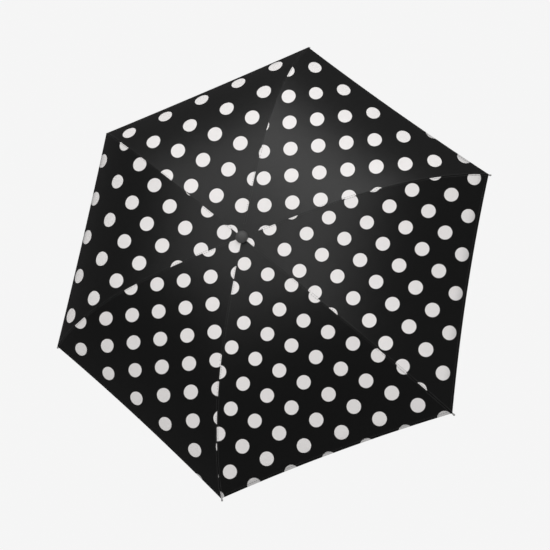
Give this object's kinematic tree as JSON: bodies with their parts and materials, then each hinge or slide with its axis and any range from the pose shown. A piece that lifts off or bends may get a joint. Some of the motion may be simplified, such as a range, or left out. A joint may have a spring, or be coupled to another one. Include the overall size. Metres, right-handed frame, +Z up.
{
  "type": "folding pocket umbrella",
  "caption": "Open folding umbrella with a shallow domed canopy in straight gores, jointed folding ribs, a telescoping shaft and a straight handle.",
  "frame": {"origin": "centre of the handle's bottom face, on the shaft's axis", "axes": "+Z up the shaft to the crown, +Y out along rib 1, +X to the right of it"},
  "size_m": [0.8422, 0.972, 0.5246],
  "materials": {
    "dotted_fabric": "black woven cloth with off-white dots, satin",
    "strap_fabric": "black woven",
    "grip_plastic": "soft-touch black",
    "cap_plastic": "dark grey moulded",
    "black_plastic": "moulded black",
    "tube_steel": "plated, drawn",
    "bright_steel": "zinc plated",
    "rib_steel": "dark zinc",
    "rib_fibre": "grey fibre-filled",
    "tip_metal": "polished",
    "snap_metal": "dark plated"
  },
  "bodies": {
    "handle": {"handle_grip": "grip_plastic", "handle_end_cap": "cap_plastic", "handle_collar": "cap_plastic", "handle_pin": "bright_steel", "lower_tube": "tube_steel"},
    "lower_catch": {"lower_catch": "bright_steel"},
    "middle_section": {"middle_tube": "tube_steel"},
    "middle_catch": {"middle_catch": "bright_steel"},
    "top_section": {"upper_tube": "tube_steel", "top_notch": "black_plastic", "notch_wire": "bright_steel", "crown_washer": "strap_fabric", "top_cap": "cap_plastic", "cap_screw": "bright_steel", "canopy": "dotted_fabric"},
    "runner_catch": {"runner_catch": "bright_steel"},
    "runner": {"runner": "black_plastic", "runner_wire": "bright_steel"},
    "inner_rib_1": {"inner_rib_1": "rib_steel"},
    "middle_rib_1": {"middle_rib_1": "rib_steel"},
    "outer_rib_1": {"outer_rib_1": "rib_fibre", "rib_tip_1": "tip_metal", "tie_strap": "strap_fabric", "strap_snap": "snap_metal"},
    "stretcher_1": {"stretcher_1": "rib_steel"},
    "tie_rod_1": {"tie_rod_1": "bright_steel"},
    "inner_rib_2": {"inner_rib_2": "rib_steel"},
    "middle_rib_2": {"middle_rib_2": "rib_steel"},
    "outer_rib_2": {"outer_rib_2": "rib_fibre", "rib_tip_2": "tip_metal"},
    "stretcher_2": {"stretcher_2": "rib_steel"},
    "tie_rod_2": {"tie_rod_2": "bright_steel"},
    "inner_rib_3": {"inner_rib_3": "rib_steel"},
    "middle_rib_3": {"middle_rib_3": "rib_steel"},
    "outer_rib_3": {"outer_rib_3": "rib_fibre", "rib_tip_3": "tip_metal"},
    "stretcher_3": {"stretcher_3": "rib_steel"},
    "tie_rod_3": {"tie_rod_3": "bright_steel"},
    "inner_rib_4": {"inner_rib_4": "rib_steel"},
    "middle_rib_4": {"middle_rib_4": "rib_steel"},
    "outer_rib_4": {"outer_rib_4": "rib_fibre", "rib_tip_4": "tip_metal"},
    "stretcher_4": {"stretcher_4": "rib_steel"},
    "tie_rod_4": {"tie_rod_4": "bright_steel"},
    "inner_rib_5": {"inner_rib_5": "rib_steel"},
    "middle_rib_5": {"middle_rib_5": "rib_steel"},
    "outer_rib_5": {"outer_rib_5": "rib_fibre", "rib_tip_5": "tip_metal"},
    "stretcher_5": {"stretcher_5": "rib_steel"},
    "tie_rod_5": {"tie_rod_5": "bright_steel"},
    "inner_rib_6": {"inner_rib_6": "rib_steel"},
    "middle_rib_6": {"middle_rib_6": "rib_steel"},
    "outer_rib_6": {"outer_rib_6": "rib_fibre", "rib_tip_6": "tip_metal"},
    "stretcher_6": {"stretcher_6": "rib_steel"},
    "tie_rod_6": {"tie_rod_6": "bright_steel"}
  },
  "joints": [
    {"name": "lower_telescope", "type": "slide", "parent": "handle", "child": "middle_section", "axis": [0, 0, 1], "range_m": [-0.136, 0]},
    {"name": "upper_telescope", "type": "slide", "parent": "middle_section", "child": "top_section", "axis": [0, 0, 1], "range_m": [-0.136, 0]},
    {"name": "runner_slide", "type": "slide", "parent": "top_section", "child": "runner", "axis": [0, 0, 1], "range_m": [-0.09321, 0], "deforming": ["canopy"]},
    {"name": "lower_catch_press", "type": "slide", "parent": "handle", "child": "lower_catch", "axis": [-1, 0, 0], "range_m": [0, 0.0016], "stiffness_N_per_m": 600, "deforming": ["lower_catch"]},
    {"name": "middle_catch_press", "type": "slide", "parent": "middle_section", "child": "middle_catch", "axis": [-1, 0, 0], "range_m": [0, 0.0016], "stiffness_N_per_m": 600, "deforming": ["middle_catch"]},
    {"name": "runner_catch_press", "type": "slide", "parent": "top_section", "child": "runner_catch", "axis": [-1, 0, 0], "range_m": [0, 0.0026], "stiffness_N_per_m": 600, "deforming": ["runner_catch"]},
    {"name": "inner_rib_1_hinge", "type": "hinge", "parent": "top_section", "child": "inner_rib_1", "pos_m": [0, 0.009, 0.508], "axis": [1, 0, 0], "range_deg": [-85.32, 0]},
    {"name": "middle_rib_1_fold", "type": "hinge", "parent": "inner_rib_1", "child": "middle_rib_1", "pos_m": [0, 0.16886, 0.50097], "axis": [1, 0, 0], "range_deg": [0, 190.81]},
    {"name": "outer_rib_1_fold", "type": "hinge", "parent": "middle_rib_1", "child": "outer_rib_1", "pos_m": [0, 0.32698, 0.44409], "axis": [1, 0, 0], "range_deg": [-154.91, 0]},
    {"name": "stretcher_1_hinge", "type": "hinge", "parent": "inner_rib_1", "child": "stretcher_1", "pos_m": [0, 0.07889, 0.50409], "axis": [1, 0, 0], "range_deg": [0, 127.86]},
    {"name": "tie_rod_1_hinge", "type": "hinge", "parent": "stretcher_1", "child": "tie_rod_1", "pos_m": [0, 0.07616, 0.50117], "axis": [1, 0, 0], "range_deg": [-121.9, 0]},
    {"name": "inner_rib_2_hinge", "type": "hinge", "parent": "top_section", "child": "inner_rib_2", "pos_m": [0.00779, 0.0045, 0.508], "axis": [0.5, -0.866, 0], "range_deg": [-85.32, 0]},
    {"name": "middle_rib_2_fold", "type": "hinge", "parent": "inner_rib_2", "child": "middle_rib_2", "pos_m": [0.14623, 0.08443, 0.50097], "axis": [0.5, -0.866, 0], "range_deg": [0, 190.81]},
    {"name": "outer_rib_2_fold", "type": "hinge", "parent": "middle_rib_2", "child": "outer_rib_2", "pos_m": [0.28317, 0.16349, 0.44409], "axis": [0.5, -0.866, 0], "range_deg": [-154.91, 0]},
    {"name": "stretcher_2_hinge", "type": "hinge", "parent": "inner_rib_2", "child": "stretcher_2", "pos_m": [0.06832, 0.03945, 0.50409], "axis": [0.5, -0.866, 0], "range_deg": [0, 127.86]},
    {"name": "tie_rod_2_hinge", "type": "hinge", "parent": "stretcher_2", "child": "tie_rod_2", "pos_m": [0.06596, 0.03808, 0.50117], "axis": [0.5, -0.866, 0], "range_deg": [-121.9, 0]},
    {"name": "inner_rib_3_hinge", "type": "hinge", "parent": "top_section", "child": "inner_rib_3", "pos_m": [0.00779, -0.0045, 0.508], "axis": [-0.5, -0.866, 0], "range_deg": [-85.32, 0]},
    {"name": "middle_rib_3_fold", "type": "hinge", "parent": "inner_rib_3", "child": "middle_rib_3", "pos_m": [0.14623, -0.08443, 0.50097], "axis": [-0.5, -0.866, 0], "range_deg": [0, 190.81]},
    {"name": "outer_rib_3_fold", "type": "hinge", "parent": "middle_rib_3", "child": "outer_rib_3", "pos_m": [0.28317, -0.16349, 0.44409], "axis": [-0.5, -0.866, 0], "range_deg": [-154.91, 0]},
    {"name": "stretcher_3_hinge", "type": "hinge", "parent": "inner_rib_3", "child": "stretcher_3", "pos_m": [0.06832, -0.03945, 0.50409], "axis": [-0.5, -0.866, 0], "range_deg": [0, 127.86]},
    {"name": "tie_rod_3_hinge", "type": "hinge", "parent": "stretcher_3", "child": "tie_rod_3", "pos_m": [0.06596, -0.03808, 0.50117], "axis": [-0.5, -0.866, 0], "range_deg": [-121.9, 0]},
    {"name": "inner_rib_4_hinge", "type": "hinge", "parent": "top_section", "child": "inner_rib_4", "pos_m": [0, -0.009, 0.508], "axis": [-1, 0, 0], "range_deg": [-85.32, 0]},
    {"name": "middle_rib_4_fold", "type": "hinge", "parent": "inner_rib_4", "child": "middle_rib_4", "pos_m": [0, -0.16886, 0.50097], "axis": [-1, 0, 0], "range_deg": [0, 190.81]},
    {"name": "outer_rib_4_fold", "type": "hinge", "parent": "middle_rib_4", "child": "outer_rib_4", "pos_m": [0, -0.32698, 0.44409], "axis": [-1, 0, 0], "range_deg": [-154.91, 0]},
    {"name": "stretcher_4_hinge", "type": "hinge", "parent": "inner_rib_4", "child": "stretcher_4", "pos_m": [0, -0.07889, 0.50409], "axis": [-1, 0, 0], "range_deg": [0, 127.86]},
    {"name": "tie_rod_4_hinge", "type": "hinge", "parent": "stretcher_4", "child": "tie_rod_4", "pos_m": [0, -0.07616, 0.50117], "axis": [-1, 0, 0], "range_deg": [-121.9, 0]},
    {"name": "inner_rib_5_hinge", "type": "hinge", "parent": "top_section", "child": "inner_rib_5", "pos_m": [-0.00779, -0.0045, 0.508], "axis": [-0.5, 0.866, 0], "range_deg": [-85.32, 0]},
    {"name": "middle_rib_5_fold", "type": "hinge", "parent": "inner_rib_5", "child": "middle_rib_5", "pos_m": [-0.14623, -0.08443, 0.50097], "axis": [-0.5, 0.866, 0], "range_deg": [0, 190.81]},
    {"name": "outer_rib_5_fold", "type": "hinge", "parent": "middle_rib_5", "child": "outer_rib_5", "pos_m": [-0.28317, -0.16349, 0.44409], "axis": [-0.5, 0.866, 0], "range_deg": [-154.91, 0]},
    {"name": "stretcher_5_hinge", "type": "hinge", "parent": "inner_rib_5", "child": "stretcher_5", "pos_m": [-0.06832, -0.03945, 0.50409], "axis": [-0.5, 0.866, 0], "range_deg": [0, 127.86]},
    {"name": "tie_rod_5_hinge", "type": "hinge", "parent": "stretcher_5", "child": "tie_rod_5", "pos_m": [-0.06596, -0.03808, 0.50117], "axis": [-0.5, 0.866, 0], "range_deg": [-121.9, 0]},
    {"name": "inner_rib_6_hinge", "type": "hinge", "parent": "top_section", "child": "inner_rib_6", "pos_m": [-0.00779, 0.0045, 0.508], "axis": [0.5, 0.866, 0], "range_deg": [-85.32, 0]},
    {"name": "middle_rib_6_fold", "type": "hinge", "parent": "inner_rib_6", "child": "middle_rib_6", "pos_m": [-0.14623, 0.08443, 0.50097], "axis": [0.5, 0.866, 0], "range_deg": [0, 190.81]},
    {"name": "outer_rib_6_fold", "type": "hinge", "parent": "middle_rib_6", "child": "outer_rib_6", "pos_m": [-0.28317, 0.16349, 0.44409], "axis": [0.5, 0.866, 0], "range_deg": [-154.91, 0]},
    {"name": "stretcher_6_hinge", "type": "hinge", "parent": "inner_rib_6", "child": "stretcher_6", "pos_m": [-0.06832, 0.03945, 0.50409], "axis": [0.5, 0.866, 0], "range_deg": [0, 127.86]},
    {"name": "tie_rod_6_hinge", "type": "hinge", "parent": "stretcher_6", "child": "tie_rod_6", "pos_m": [-0.06596, 0.03808, 0.50117], "axis": [0.5, 0.866, 0], "range_deg": [-121.9, 0]}
  ],
  "couplings": [
    {"joint": "inner_rib_1_hinge", "follows": "runner_slide", "rad_per_m": 15.973},
    {"joint": "middle_rib_1_fold", "follows": "runner_slide", "rad_per_m": -35.726},
    {"joint": "outer_rib_1_fold", "follows": "runner_slide", "rad_per_m": 29.003},
    {"joint": "stretcher_1_hinge", "follows": "runner_slide", "rad_per_m": -23.938},
    {"joint": "tie_rod_1_hinge", "follows": "runner_slide", "rad_per_m": 22.823},
    {"joint": "inner_rib_2_hinge", "follows": "runner_slide", "rad_per_m": 15.973},
    {"joint": "middle_rib_2_fold", "follows": "runner_slide", "rad_per_m": -35.726},
    {"joint": "outer_rib_2_fold", "follows": "runner_slide", "rad_per_m": 29.003},
    {"joint": "stretcher_2_hinge", "follows": "runner_slide", "rad_per_m": -23.938},
    {"joint": "tie_rod_2_hinge", "follows": "runner_slide", "rad_per_m": 22.823},
    {"joint": "inner_rib_3_hinge", "follows": "runner_slide", "rad_per_m": 15.973},
    {"joint": "middle_rib_3_fold", "follows": "runner_slide", "rad_per_m": -35.726},
    {"joint": "outer_rib_3_fold", "follows": "runner_slide", "rad_per_m": 29.003},
    {"joint": "stretcher_3_hinge", "follows": "runner_slide", "rad_per_m": -23.938},
    {"joint": "tie_rod_3_hinge", "follows": "runner_slide", "rad_per_m": 22.823},
    {"joint": "inner_rib_4_hinge", "follows": "runner_slide", "rad_per_m": 15.973},
    {"joint": "middle_rib_4_fold", "follows": "runner_slide", "rad_per_m": -35.726},
    {"joint": "outer_rib_4_fold", "follows": "runner_slide", "rad_per_m": 29.003},
    {"joint": "stretcher_4_hinge", "follows": "runner_slide", "rad_per_m": -23.938},
    {"joint": "tie_rod_4_hinge", "follows": "runner_slide", "rad_per_m": 22.823},
    {"joint": "inner_rib_5_hinge", "follows": "runner_slide", "rad_per_m": 15.973},
    {"joint": "middle_rib_5_fold", "follows": "runner_slide", "rad_per_m": -35.726},
    {"joint": "outer_rib_5_fold", "follows": "runner_slide", "rad_per_m": 29.003},
    {"joint": "stretcher_5_hinge", "follows": "runner_slide", "rad_per_m": -23.938},
    {"joint": "tie_rod_5_hinge", "follows": "runner_slide", "rad_per_m": 22.823},
    {"joint": "inner_rib_6_hinge", "follows": "runner_slide", "rad_per_m": 15.973},
    {"joint": "middle_rib_6_fold", "follows": "runner_slide", "rad_per_m": -35.726},
    {"joint": "outer_rib_6_fold", "follows": "runner_slide", "rad_per_m": 29.003},
    {"joint": "stretcher_6_hinge", "follows": "runner_slide", "rad_per_m": -23.938},
    {"joint": "tie_rod_6_hinge", "follows": "runner_slide", "rad_per_m": 22.823}
  ]
}
